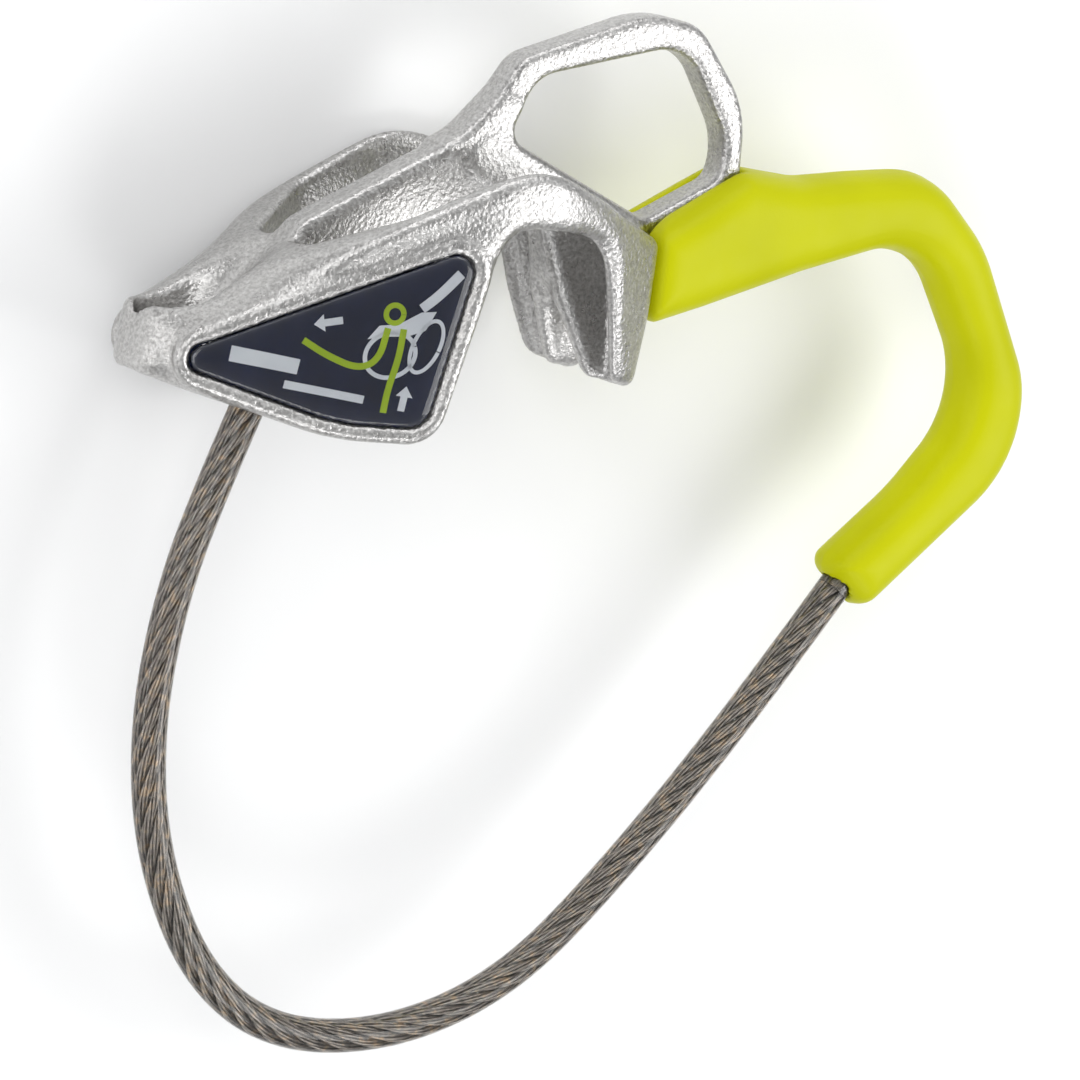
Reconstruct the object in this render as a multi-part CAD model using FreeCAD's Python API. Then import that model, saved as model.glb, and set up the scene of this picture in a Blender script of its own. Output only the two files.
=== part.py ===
"""Rope descender: a cast two-slot brake body with a thumb eye, a jacketed wire bail and its sheath.

The part lies on its far side plate. X runs along the body from nose (-X) to sheath (+X), Y from the
bail (-Y) to the thumb eye (+Y), and Z through the side plates. The web's middle plane is Z = MID_Z,
and everything except the two labels' artwork is symmetric about it. Millimetres.
"""
import FreeCAD, Part
import math
import os

V = FreeCAD.Vector

# ---- driving dimensions -------------------------------------------------------------------------
HALF_WIDTH = 16.0       # web's middle plane to the outer face of each side plate
MID_Z = HALF_WIDTH      # height of the web's middle plane, with the far plate on the floor
WEB = 3.2               # thickness of the web between the two rope slots
EYE_THICKNESS = 4.2     # thumb eye, across the web's plane
NOSE_X = -63.2          # front face of the nose
REAR_X = 1.9            # back face of the brake tongues
FULL_WIDTH_X = -26.0    # where the wedge of the side plates reaches full width
TAPER = 0.24            # widening of each side plate per millimetre of length
POCKET_DEPTH = 1.0      # label pocket, below the plate's face
FOIL = 0.2              # label foil in the bottom of the pocket
DOME = 0.7              # clear resin cast over the foil
LABEL_GAP = 0.1         # label to the pocket's wall
WIRE_D = 3.2            # bare wire rope
JACKET_D = 4.0          # over the clear jacket
FERRULE_D = 5.2         # swaged sleeve on each end of the wire rope
FERRULE_LENGTH = 9.0
SOCKET_BOSS_D = 8.4     # casting round the front ferrule
REAR_BOSS_D = 7.2       # casting round the rear ferrule, inside the sheath
BOSS_ROOT = 1.5         # how far each boss runs on past its ferrule's blind end
BORE_RUN_OUT = 3.0      # how far the front bore runs on out of the casting
MOUTH = 0.5             # bore beyond the rear ferrule's open end
BAIL_GAP = 0.7          # moving span to the mouth of each socket
EYELET_WIDTH = 6.8      # nose eyelet, across the body
TONGUE_GAP = 2.6        # between the two brake tongues
TONGUE_WALL = 1.9       # inner wall of each tongue
SHEATH_ROOT_WIDTH = 13.6
SHEATH_ARM_WIDTH = 8.6
SHEATH_EDGE = 1.5       # rounding of the sheath's near and far faces
FIT = 0.15              # clearance of the sheath on the casting
SHARED = 0.01           # overlap of two cutting shapes, so that no film of metal is left between

# Sizes of cutting and building blocks, all well beyond the part.
BEYOND = 20.0           # to each side of the middle plane
LOW_Y = 5.0             # under the casting
HIGH_Y = 60.0           # over the slots and the sheath
PAST_END = 5.0          # past the back of the casting

# ---- outlines: corners as (x, y, corner radius) -------------------------------------------------
BODY_SIDE = [
    (NOSE_X, 19.0, 1.6), (-62.2, 26.6, 1.6), (-56.5, 27.4, 8), (-47.0, 33.2, 9), (-20.8, 46.5, 12),
    (REAR_X, 36.4, 1.4), (REAR_X, 27.0, 16), (0.9, 18.6, 1.8), (-4.0, 18.6, 1.8), (-7.4, 30.6, 14),
    (-10.4, 36.4, 8), (-23.2, 37.4, 4.5), (-25.0, 32.8, 0.6), (-30.8, 13.3, 3.6), (-42.0, 13.5, 30)]
WEB_SIDE = [
    (-52.0, 18.5, 1), (-52.0, 31.4, 1), (-26.5, 45.0, 5), (-17.0, 51.0, 2), (-12.0, 44.2, 1),
    (REAR_X, 37.4, 1), (REAR_X, 29.0, 1), (-7.0, 27.6, 1), (-9.2, 38.6, 5), (-23.5, 38.6, 8),
    (-31.0, 22.0, 8), (-40.0, 17.0, 4)]
EYE_OUTER = [
    (-30.0, 43.0, 3), (-22.8, 46.2, 8), (-16.4, 56.0, 4.5), (0.5, 61.9, 14), (8.0, 60.7, 6),
    (15.8, 51.5, 12), (16.5, 40.8, 4), (7.0, 35.0, 3), (-2.0, 35.0, 2), (-16.0, 41.5, 2)]
EYE_INNER = [
    (-17.4, 46.6, 2.4), (-13.9, 54.0, 5), (6.4, 58.7, 6.5), (13.9, 47.5, 8), (13.4, 42.8, 2.6),
    (3.4, 37.6, 3)]
LABEL = [(-62.4, 21.3, 1.7), (-27.4, 36.7, 2.2), (-31.5, 15.3, 2.8), (-42.0, 15.3, 26)]
EYELET_ENDS = (-61.9, -51.5)
SHEATH_SIDE = [
    (2.2, 24.0, 2.4), (43.9, 36.8, 10), (53.8, 21.0, 9.5), (53.8, 14.6, 8.5), (47.0, 6.2, 30),
    (36.3, -3.2, 2.2), (42.2, -9.2, 2.6), (63.0, 9.4, 16), (62.9, 20.2, 13), (53.9, 36.4, 20),
    (44.6, 45.3, 8.5), (33.5, 44.3, 14), (25.0, 43.4, 14), (15.6, 44.4, 3.5), (2.2, 36.6, 2.5)]
TONGUE_WALL_SIDE = [
    (-8.2, 31.0, 1), (-4.4, 18.6, 1.4), (0.9, 18.6, 1.8), (REAR_X, 27.0, 16), (REAR_X, 32.0, 0.5)]
TONGUE_NOTCH_SIDE = [(-10.0, 10.0), (-10.0, 27.6), (3.0, 27.6), (3.0, 10.0)]
UPPER_BAND = [(-70.0, 20.4), (-62.0, 24.2), (-38.0, 35.2), (-38.0, 60.0), (-70.0, 60.0)]
FRONT_BLOCK = [(-64.0, 10.0), (-41.5, 10.0), (-41.5, 20.0), (-45.4, 36.0), (-64.0, 36.0)]
BELOW_NOSE = [(-66.0, 10.0), (-34.0, 10.0), (-34.0, 14.0), (-48.5, 16.4), (-66.0, 18.0)]
SLOT_ENDS = (-44.0, -1.4)

# ---- plan half-outlines: corners as (x, half width, corner radius) ------------------------------
BODY_PLAN = [
    (NOSE_X, 4.4, 2.6), (-57.5, 8.44, 4), (FULL_WIDTH_X, 16.0, 4), (-17.0, 16.0, 12), (-8.0, 13.4, 14),
    (REAR_X, 8.4, 1.2)]
UPPER_PLAN = [
    (NOSE_X, 4.4, 2.6), (-52.5, 6.2, 4), (-47.6, 7.4, 3), (-42.5, 13.8, 3), (-37.5, 16.5, 3)]
SLOT_PLAN = [
    (-44.6, WEB / 2, 1.2), (-44.6, 5.0, 3), (-35.5, 11.7, 6), (-24.0, 13.8, 8), (-17.0, 13.8, 10),
    (-8.4, 11.2, 8), (-1.2, 7.8, 2.6), (-1.2, WEB / 2, 2.4)]
SHEATH_PLAN = [
    (2.2, SHEATH_ROOT_WIDTH / 2, 2), (12.0, SHEATH_ROOT_WIDTH / 2 - 0.6, 8),
    (27.0, SHEATH_ARM_WIDTH / 2, 10)]
UPPER_END_X = -30.0         # where the upper plan outline stops, inside the full-width body
SHEATH_PLAN_END_X = 70.0    # past the sheath's outer bend

# ---- wire rope route, in the web's middle plane -------------------------------------------------
FRONT_TAIL = [(-41.9, 26.6), (-45.4, 17.2)]
BAIL = [
    (-45.4, 17.2), (-48.8, 8.0), (-53.2, -6.0), (-54.6, -22.0), (-51.8, -37.2), (-44.0, -51.5),
    (-32.5, -59.2), (-16.5, -59.9), (-1.0, -54.2), (12.0, -41.6), (27.8, -22.6), (39.3, -6.7)]
REAR_TAIL = [
    (39.3, -6.7), (58.4, 15.9), (55.6, 28.9), (46.4, 39.4), (31.5, 38.9), (17.5, 35.9), (3.4, 31.4)]


def point(corner):
    """A corner of an outline, in the web's middle plane."""
    return V(corner[0], corner[1], MID_Z)


def edges_through(corners, closed):
    """Straight edges joined by tangent arcs, whose radii the corners give. Returns edges, radii."""
    count = len(corners)
    ends = []
    edges = []
    for index in range(count):
        here = point(corners[index])
        inner = closed or 0 < index < count - 1
        radius = corners[index][2] if len(corners[index]) > 2 else 0
        if not inner or radius == 0:
            ends.append((here, None, here))
            continue
        before = (point(corners[index - 1]) - here).normalize()
        after = (point(corners[(index + 1) % count]) - here).normalize()
        half_angle = before.getAngle(after) / 2
        setback = radius / math.tan(half_angle)
        middle = (before + after).normalize()
        nearest = here + middle * (radius / math.sin(half_angle) - radius)
        ends.append((here + before * setback, nearest, here + after * setback))
    for index in range(count if closed else count - 1):
        start, nearest, finish = ends[index]
        if nearest is not None:
            edges.append(Part.Arc(start, nearest, finish).toShape())
        following = ends[(index + 1) % count][0]
        if finish.distanceToPoint(following) > 1e-6:
            edges.append(Part.LineSegment(finish, following).toShape())
    return edges


def side_prism(corners, half_depth):
    """An outline in XY, extruded both ways from the middle plane."""
    face = Part.Face(Part.Wire(edges_through(corners, True)))
    face.translate(V(0, 0, -half_depth))
    return face.extrude(V(0, 0, 2 * half_depth))


def turned_to_plan(shape):
    """Turns a shape drawn with half widths along Y so that they lie along Z, from the mid plane."""
    shape.rotate(V(0, 0, MID_Z), V(1, 0, 0), 90)
    return shape


def plan_prism(half_outline, low_y, high_y, end_x):
    """A plan outline mirrored about the middle plane, extruded along Y, and ended at end_x."""
    upper = [(x, width, radius) for x, width, radius in half_outline]
    last_width = half_outline[-1][1]
    if end_x > half_outline[-1][0]:
        upper.append((end_x, last_width, 0))
    lower = [(x, -width, radius) for x, width, radius in reversed(upper)]
    face = Part.Face(Part.Wire(edges_through(upper + lower, True)))
    prism = turned_to_plan(face.extrude(V(0, 0, high_y - low_y)))
    prism.translate(V(0, high_y, 0))
    return prism


def slot_prism(side, low_y, high_y):
    """One rope slot's plan outline on the given side of the web, extruded along Y."""
    corners = [(x, side * width, radius) for x, width, radius in SLOT_PLAN]
    face = Part.Face(Part.Wire(edges_through(corners, True)))
    prism = turned_to_plan(face.extrude(V(0, 0, high_y - low_y)))
    prism.translate(V(0, high_y, 0))
    return prism


def box(low, high):
    return Part.makeBox(high[0] - low[0], high[1] - low[1], high[2] - low[2], V(*low))


def rod(start, end, diameter, extra=0.0):
    """A cylinder in the middle plane from one route point to another, longer by extra at its end."""
    axis = point(end) - point(start)
    return Part.makeCylinder(diameter / 2, axis.Length + extra, point(start), axis)


def route_corners(route):
    """The route's corners, each with the radius that its two runs allow."""
    corners = []
    for index, spot in enumerate(route):
        if index in (0, len(route) - 1):
            corners.append((spot[0], spot[1], 0))
            continue
        before = point(spot) - point(route[index - 1])
        after = point(route[index + 1]) - point(spot)
        half_turn = before.getAngle(after) / 2
        radius = 0.45 * min(before.Length, after.Length) / math.tan(half_turn)
        corners.append((spot[0], spot[1], radius))
    return corners


def shortened(route, first_gap, last_gap):
    """The route with its first and last points moved inwards along their runs."""
    def moved(spot, neighbour, gap):
        step = (point(neighbour) - point(spot)).normalize() * gap
        return (spot[0] + step.x, spot[1] + step.y)
    start = moved(route[0], route[1], first_gap)
    finish = moved(route[-1], route[-2], last_gap)
    return [start] + list(route[1:-1]) + [finish]


def tube(corners, diameter):
    """A round bar along straight runs and tangent arcs, starting square to its first run."""
    path = Part.Wire(edges_through(corners, False))
    start = point(corners[0])
    direction = point(corners[1]) - start
    section = Part.Wire(Part.Circle(start, direction, diameter / 2).toShape())
    bar = path.makePipeShell([section], True, False)
    return bar, path.Length


def wedge_slab(side, outer_depth, inner_depth):
    """The space between two depths below one side plate's sloping face."""
    angle = math.degrees(math.atan(TAPER))
    slab = box((-HIGH_Y, 0.0, -inner_depth), (BEYOND, HIGH_Y, -outer_depth))
    slab.rotate(V(0, 0, 0), V(0, 1, 0), -angle)
    slab.translate(V(FULL_WIDTH_X, 0, HALF_WIDTH))
    if side < 0:
        slab = slab.mirror(V(0, 0, 0), V(0, 0, 1))
    slab.translate(V(0, 0, MID_Z))
    return slab


def grown(corners, amount):
    """The outline moved outwards (or inwards) all round."""
    wire = Part.Wire(edges_through(corners, True))
    return wire.makeOffset2D(amount)


def label_layer(side, amount, outer_depth, inner_depth):
    """The label's outline, grown by amount, between two depths below the plate's face."""
    face = Part.Face(grown(LABEL, amount))
    face.translate(V(0, 0, -BEYOND))
    prism = face.extrude(V(0, 0, 2 * BEYOND))
    return prism.common(wedge_slab(side, outer_depth, inner_depth))


def front_socket():
    """Boss for the front ferrule, ending flush with the nose's underside, and its bore."""
    boss = rod(FRONT_TAIL[1], FRONT_TAIL[0], SOCKET_BOSS_D, BOSS_ROOT)
    bore = rod(FRONT_TAIL[1], FRONT_TAIL[0], FERRULE_D)
    bore = bore.fuse(rod(FRONT_TAIL[1], BAIL[1], FERRULE_D, BORE_RUN_OUT))
    return boss, bore


def rear_socket():
    """Boss for the rear ferrule, standing out of the web's end into the sheath, and its bore."""
    inner, outer = rear_ends()
    boss = rod(inner, outer, REAR_BOSS_D)
    bore = rod(inner, outer, FERRULE_D, BOSS_ROOT)
    base = rod(outer, inner, REAR_BOSS_D, BOSS_ROOT)
    return boss.fuse(base), bore


def rear_ends():
    """Blind end and mouth of the rear socket, on the rear tail's last run."""
    last, before = point(REAR_TAIL[-1]), point(REAR_TAIL[-2])
    along = (before - last).normalize()
    mouth = last + along * (FERRULE_LENGTH + MOUTH)
    return (last.x, last.y), (mouth.x, mouth.y)


def cast_body():
    hull = side_prism(BODY_SIDE, BEYOND).common(plan_prism(BODY_PLAN, LOW_Y, HIGH_Y, REAR_X + PAST_END))
    band = side_prism(UPPER_BAND, BEYOND)
    narrow = plan_prism(UPPER_PLAN, LOW_Y, HIGH_Y, UPPER_END_X)
    hull = hull.cut(band.cut(narrow))
    front = side_prism(FRONT_BLOCK, BEYOND)
    for side in (1, -1):
        hull = hull.cut(slot_prism(side, LOW_Y, HIGH_Y).cut(front))
    half_web = WEB / 2 + SHARED
    web_space = box((SLOT_ENDS[0], LOW_Y, MID_Z - half_web), (SLOT_ENDS[1], HIGH_Y, MID_Z + half_web))
    hull = hull.cut(web_space.cut(front))
    hull = hull.fuse(side_prism(TONGUE_WALL_SIDE, TONGUE_GAP / 2 + TONGUE_WALL))
    hull = hull.cut(side_prism(TONGUE_NOTCH_SIDE, TONGUE_GAP / 2))
    web = side_prism(WEB_SIDE, WEB / 2)
    eye = side_prism(EYE_OUTER, EYE_THICKNESS / 2)
    hull = hull.fuse([web, eye]).cut(side_prism(EYE_INNER, EYE_THICKNESS))
    eyelet = box((EYELET_ENDS[0], LOW_Y, MID_Z - EYELET_WIDTH / 2),
                 (EYELET_ENDS[1], HIGH_Y, MID_Z + EYELET_WIDTH / 2))
    eyelet = eyelet.makeFillet(EYELET_WIDTH / 2 - FIT, [e for e in eyelet.Edges if along_y(e)])
    hull = hull.cut(eyelet)
    for boss, bore in (front_socket(), rear_socket()):
        hull = hull.fuse(boss).cut(bore)
    hull = hull.cut(side_prism(BELOW_NOSE, SOCKET_BOSS_D / 2 + MOUTH))
    for side in (1, -1):
        hull = hull.cut(label_layer(side, 0.0, -POCKET_DEPTH, POCKET_DEPTH))
    return hull.removeSplitter()


def along_y(edge):
    """True for a straight edge that runs along Y."""
    ends = [vertex.Point for vertex in edge.Vertexes]
    return len(ends) == 2 and abs(ends[0].x - ends[1].x) < 1e-6 and abs(ends[0].z - ends[1].z) < 1e-6


def sheath(rear_cable):
    plan = plan_prism(SHEATH_PLAN, -BEYOND, HIGH_Y, SHEATH_PLAN_END_X)
    shape = side_prism(SHEATH_SIDE, BEYOND).common(plan)
    shape = shape.makeFillet(SHEATH_EDGE, [edge for edge in shape.Edges if on_sheath_rim(edge)])
    shape = shape.cut(side_prism(EYE_OUTER, EYE_THICKNESS / 2 + FIT))
    inner, outer = rear_ends()
    shape = shape.cut(rod(inner, outer, REAR_BOSS_D + 2 * FIT, FIT))
    return largest(shape.cut(rear_cable))


def on_sheath_rim(edge):
    """True for the edges round the sheath's near and far faces."""
    away = abs(edge.CenterOfMass.z - MID_Z)
    half = SHEATH_ARM_WIDTH / 2
    return away > half - FIT and edge.BoundBox.ZLength < half - SHEATH_EDGE / 2


def largest(shape):
    """The biggest solid of a shape that a cut has divided."""
    return max(shape.Solids, key=lambda solid: solid.Volume)


def rope_and_jacket(name, route, first_bare, last_bare):
    """The wire rope of one stretch and the clear jacket round it, which stops short at bare ends."""
    corners = route_corners(route)
    wire, length = tube(corners, WIRE_D)
    covered = route_corners(shortened(route, first_bare, last_bare))
    jacket_bar, jacket_length = tube(covered, JACKET_D)
    jacket = jacket_bar.cut(wire)
    section = math.pi * WIRE_D ** 2 / 4
    radii = [round(corner[2], 1) for corner in corners[1:-1]]
    print("%s: length %.1f, radii %s, volume / (section x length) %.4f"
          % (name, length, radii, wire.Volume / (section * length)))
    return wire, jacket, jacket_bar


def ferrule(blind_end, mouth):
    """A swaged sleeve that fills the blind end of a socket, round the bare wire rope."""
    axis = (point(mouth) - point(blind_end)).normalize()
    sleeve = Part.makeCylinder(FERRULE_D / 2, FERRULE_LENGTH, point(blind_end), axis)
    return sleeve.cut(Part.makeCylinder(WIRE_D / 2, FERRULE_LENGTH, point(blind_end), axis))


def build():
    front_wire, front_jacket, _ = rope_and_jacket("front tail", FRONT_TAIL, FERRULE_LENGTH, 0.0)
    bail_route = shortened(BAIL, BAIL_GAP, BAIL_GAP)
    bail_wire, bail_jacket, _ = rope_and_jacket("bail", bail_route, 0.0, 0.0)
    rear_wire, rear_jacket, rear_bar = rope_and_jacket("rear tail", REAR_TAIL, 0.0, FERRULE_LENGTH)
    rear_inner, rear_mouth = rear_ends()
    nodes = {
        "cast_body": cast_body(),
        "sheath": sheath(rear_bar),
        "bail_wire": bail_wire,
        "bail_jacket": bail_jacket,
        "front_wire_end": front_wire,
        "front_jacket_end": front_jacket,
        "rear_wire_end": rear_wire,
        "rear_jacket_end": rear_jacket,
        "front_ferrule": ferrule(FRONT_TAIL[0], FRONT_TAIL[1]),
        "rear_ferrule": ferrule(rear_inner, rear_mouth)}
    for name, side in (("near", 1), ("far", -1)):
        nodes["label_foil_" + name] = label_layer(side, -LABEL_GAP, POCKET_DEPTH - FOIL, POCKET_DEPTH)
        nodes["label_dome_" + name] = label_layer(side, -LABEL_GAP, POCKET_DEPTH - FOIL - DOME,
                                                  POCKET_DEPTH - FOIL)
    return nodes


os.makedirs("parts", exist_ok=True)
everything = FreeCAD.BoundBox()
for node, shape in build().items():
    shape.exportStep("parts/%s.step" % node)
    everything.add(shape.BoundBox)
    print("%-18s solids %d valid %s volume %.1f" % (node, len(shape.Solids), shape.isValid(), shape.Volume))
print("box", everything)
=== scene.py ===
import math

import bpy
import numpy as np
from mathutils import Matrix, Vector


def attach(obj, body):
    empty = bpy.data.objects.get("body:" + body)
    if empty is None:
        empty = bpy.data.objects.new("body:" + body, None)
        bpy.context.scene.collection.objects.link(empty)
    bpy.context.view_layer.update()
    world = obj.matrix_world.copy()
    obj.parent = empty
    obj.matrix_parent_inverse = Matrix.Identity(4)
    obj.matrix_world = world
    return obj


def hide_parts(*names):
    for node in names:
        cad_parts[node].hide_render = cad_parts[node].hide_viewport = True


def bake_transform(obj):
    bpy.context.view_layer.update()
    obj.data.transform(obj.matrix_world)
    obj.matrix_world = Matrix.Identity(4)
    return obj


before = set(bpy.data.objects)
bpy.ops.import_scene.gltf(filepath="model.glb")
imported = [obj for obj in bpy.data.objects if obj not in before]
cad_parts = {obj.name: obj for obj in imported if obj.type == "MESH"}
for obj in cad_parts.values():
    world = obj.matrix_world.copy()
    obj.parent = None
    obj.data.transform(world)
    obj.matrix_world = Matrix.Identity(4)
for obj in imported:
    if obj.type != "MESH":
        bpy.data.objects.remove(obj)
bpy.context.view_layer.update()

MM = 0.001
MID_Z = 16.0
PLATE_OUT = MID_Z  # the side plates' outer faces reach the part's full half width

# ---- dimensions shared with the CAD part ---------------------------------------------------------
WEB = 3.2
EYE_THICKNESS = 4.2
NOSE_X = -63.2
REAR_X = 1.9
FULL_WIDTH_X = -26.0
TAPER = 0.24
POCKET_DEPTH = 1.0
FOIL = 0.2
FOIL_TOP = -(POCKET_DEPTH - FOIL)
LABEL_GAP = 0.1
JACKET_D = 4.0
WIRE_D = 3.2
FERRULE_D = 5.2
SOCKET_BOSS_D = 8.4
REAR_BOSS_D = 7.2
EYELET_WIDTH = 6.8
EYELET_ENDS = (-61.9, -51.5)
SHEATH_ROOT_WIDTH = 13.6
SHEATH_ARM_WIDTH = 8.6

BODY_SIDE = [
    (NOSE_X, 19.0, 1.6), (-62.2, 26.6, 1.6), (-56.5, 27.4, 8), (-47.0, 33.2, 9), (-20.8, 46.5, 12),
    (REAR_X, 36.4, 1.4), (REAR_X, 27.0, 16), (0.9, 18.4, 2.2), (-4.0, 18.4, 2.6), (-7.4, 30.6, 14),
    (-10.4, 36.4, 8), (-23.2, 37.4, 4.5), (-25.0, 32.8, 0.6), (-30.8, 13.3, 3.6), (-42.0, 13.5, 30)]
WEB_SIDE = [
    (-52.0, 18.5, 1), (-52.0, 31.4, 1), (-26.5, 45.0, 5), (-17.0, 51.0, 2), (-12.0, 44.2, 1),
    (REAR_X, 37.4, 1), (REAR_X, 29.0, 1), (-7.0, 27.6, 1), (-9.2, 38.6, 5), (-23.5, 38.6, 8),
    (-31.0, 22.0, 8), (-40.0, 17.0, 4)]
EYE_OUTER = [
    (-30.0, 43.0, 3), (-22.8, 46.2, 8), (-16.4, 56.0, 4.5), (0.5, 61.9, 14), (8.0, 60.7, 6),
    (15.8, 51.5, 12), (16.5, 40.8, 4), (7.0, 35.0, 3), (-2.0, 35.0, 2), (-16.0, 41.5, 2)]
EYE_INNER = [
    (-17.4, 46.6, 2.4), (-13.9, 54.0, 5), (6.4, 58.7, 6.5), (13.9, 47.5, 8), (13.4, 42.8, 2.6),
    (3.4, 37.6, 3)]
# the label's outline; its first two corners are the ends of its top edge
LABEL = [(-62.4, 21.3, 1.7), (-27.4, 36.7, 2.2), (-31.5, 15.3, 2.8), (-42.0, 15.3, 26)]
SHEATH_SIDE = [
    (2.2, 25.2, 2.4), (43.9, 36.9, 10), (56.1, 17.4, 11.5), (47.0, 6.2, 30), (36.3, -3.2, 2.2),
    (42.7, -9.2, 2.6), (63.4, 9.2, 16), (62.9, 20.2, 13), (53.9, 36.4, 20), (44.4, 45.1, 12),
    (33.5, 44.3, 14), (25.0, 43.4, 14), (15.6, 44.4, 3.5), (2.2, 36.6, 2.5)]
TONGUE_WALL_SIDE = [
    (-10.6, 38.0, 1), (-8.6, 29.4, 2), (-6.2, 24.0, 4), (-3.8, 18.4, 2.4), (0.9, 18.4, 2.2),
    (REAR_X, 27.0, 16), (REAR_X, 37.0, 0.5)]
# the slots start behind this block
FRONT_BLOCK = [
    (-64.0, 10.0, 0), (-41.5, 10.0, 0), (-41.5, 20.0, 0), (-45.4, 36.0, 0), (-64.0, 36.0, 0)]
# half widths of the body along X: at the side plates, and at the top edge above them
PLATE_HALF = [
    (NOSE_X, 3.0), (-61.2, 5.8), (-57.5, 8.44), (FULL_WIDTH_X, PLATE_OUT),
    (-17.0, PLATE_OUT), (-8.0, 13.4), (REAR_X, 8.4)]
TOP_HALF = [
    (NOSE_X, 3.2), (-61.2, 4.4), (-52.5, 6.0), (-48.6, 7.6), (-42.6, 13.4), (-38.0, 14.8), (-22.0, 15.4),
    (-15.0, 15.0), (-8.0, 13.2), (REAR_X, 8.4)]
# height of the surface between the plate and the top edge, along X
TOP_GAP = [(NOSE_X, 3.0), (-56.5, 3.9), (-47.0, 5.0), (-38.0, 6.0), (-27.0, 6.6)]
SLOT_PLAN = [
    (-44.6, WEB / 2, 1.2), (-44.6, 5.0, 3), (-35.5, 11.7, 6), (-24.0, 13.8, 8), (-17.0, 13.8, 10),
    (-8.4, 10.8, 8), (-1.2, 6.8, 2.6), (-1.2, WEB / 2, 2.4)]
SHEATH_PLAN = [
    (2.2, SHEATH_ROOT_WIDTH / 2, 2), (12.0, SHEATH_ROOT_WIDTH / 2 - 0.6, 8),
    (27.0, SHEATH_ARM_WIDTH / 2, 10)]

FRONT_TAIL = [(-41.9, 26.6), (-45.4, 17.2)]
BAIL = [
    (-45.4, 17.2), (-48.8, 8.0), (-53.2, -6.0), (-54.6, -22.0), (-51.8, -37.2), (-44.0, -51.5),
    (-32.5, -59.2), (-16.5, -59.9), (-1.0, -54.2), (12.0, -41.6), (27.8, -22.6), (39.3, -6.7)]
# the wire rope's way into the sheath's tip, on the line of the bail's last run
CABLE_BORE = ((37.4, -9.3), (42.6, -2.1))
FRONT_BOSS = (FRONT_TAIL[1], (-41.3, 28.1))
FRONT_BORE = (BAIL[1], FRONT_TAIL[0])
REAR_BOSS = ((2.0, 31.0), (12.5, 34.3))
REAR_BOSS_POCKET = ((2.0, 31.0), (12.6, 34.3))
REAR_BORE = ((3.4, 31.4), (17.5, 35.9))
# the ramp behind the nose eyelet: where it starts and ends, and its radius there
RAMP = ((-55.5, 27.4), (-46.6, 35.4))
RAMP_RADIUS = (3.2, 2.1)


# ---- outlines and distance fields ----------------------------------------------------------------
def rounded(corners, step=0.4):
    """Closed outline through the corners, each rounded by its own radius, as an array of points."""
    points = []
    count = len(corners)
    for index, (x, y, radius) in enumerate(corners):
        here = np.array((x, y), float)
        before = np.array(corners[index - 1][:2], float) - here
        after = np.array(corners[(index + 1) % count][:2], float) - here
        before /= np.linalg.norm(before)
        after /= np.linalg.norm(after)
        half = math.acos(float(np.clip(before @ after, -1, 1))) / 2
        if radius == 0:
            points.append(here)
            continue
        middle = (before + after) / np.linalg.norm(before + after)
        centre = here + middle * radius / math.sin(half)
        first = here + before * radius / math.tan(half) - centre
        turn = math.pi - 2 * half
        sign = 1.0 if before[0] * after[1] - before[1] * after[0] < 0 else -1.0
        pieces = max(2, int(radius * turn / step))
        for piece in range(pieces + 1):
            angle = sign * turn * piece / pieces
            cosine, sine = math.cos(angle), math.sin(angle)
            points.append(centre + (first[0] * cosine - first[1] * sine,
                                    first[0] * sine + first[1] * cosine))
    return np.array(points)


def outline_field(points, across, up):
    """Signed distance from a closed outline on a grid of across by up, negative inside."""
    u, v = np.meshgrid(across, up, indexing="ij")
    nearest = np.full(u.shape, 1e9)
    inside = np.zeros(u.shape, bool)
    for (ax, ay), (bx, by) in zip(points, np.roll(points, -1, axis=0)):
        dx, dy = bx - ax, by - ay
        length = dx * dx + dy * dy
        if length < 1e-12:
            continue
        t = np.clip(((u - ax) * dx + (v - ay) * dy) / length, 0, 1)
        nearest = np.minimum(nearest, (u - ax - t * dx) ** 2 + (v - ay - t * dy) ** 2)
        if ay != by:
            inside ^= ((ay > v) != (by > v)) & (u < (v - ay) * dx / dy + ax)
    distance = np.sqrt(nearest)
    return np.where(inside, -distance, distance)


def both_sides(half_outline, end_x):
    """A plan outline from its half widths, mirrored, and ended square at end_x."""
    upper = list(half_outline) + [(end_x, half_outline[-1][1], 0)]
    return upper + [(x, -width, radius) for x, width, radius in reversed(upper)]


def union(a, b, blend):
    """The nearer of two fields, joined by a fillet about half of blend in radius."""
    reach = np.maximum(blend - np.abs(a - b), 0) / blend
    return np.minimum(a, b) - reach * reach * blend / 4


def overlap(a, b, blend):
    return -union(-a, -b, blend)


def minus(a, b, blend):
    return -union(-a, b, blend)


def rod_field(x, y, z, start, end, radius):
    """Signed distance from a flat-ended rod in the middle plane."""
    ax, ay = start
    dx, dy = end[0] - ax, end[1] - ay
    length = math.hypot(dx, dy)
    dx, dy = dx / length, dy / length
    along = (x - ax) * dx + (y - ay) * dy
    off = np.sqrt(((x - ax) * dy - (y - ay) * dx) ** 2 + z ** 2) - radius
    return np.maximum(off, np.maximum(-along, along - length))


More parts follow.
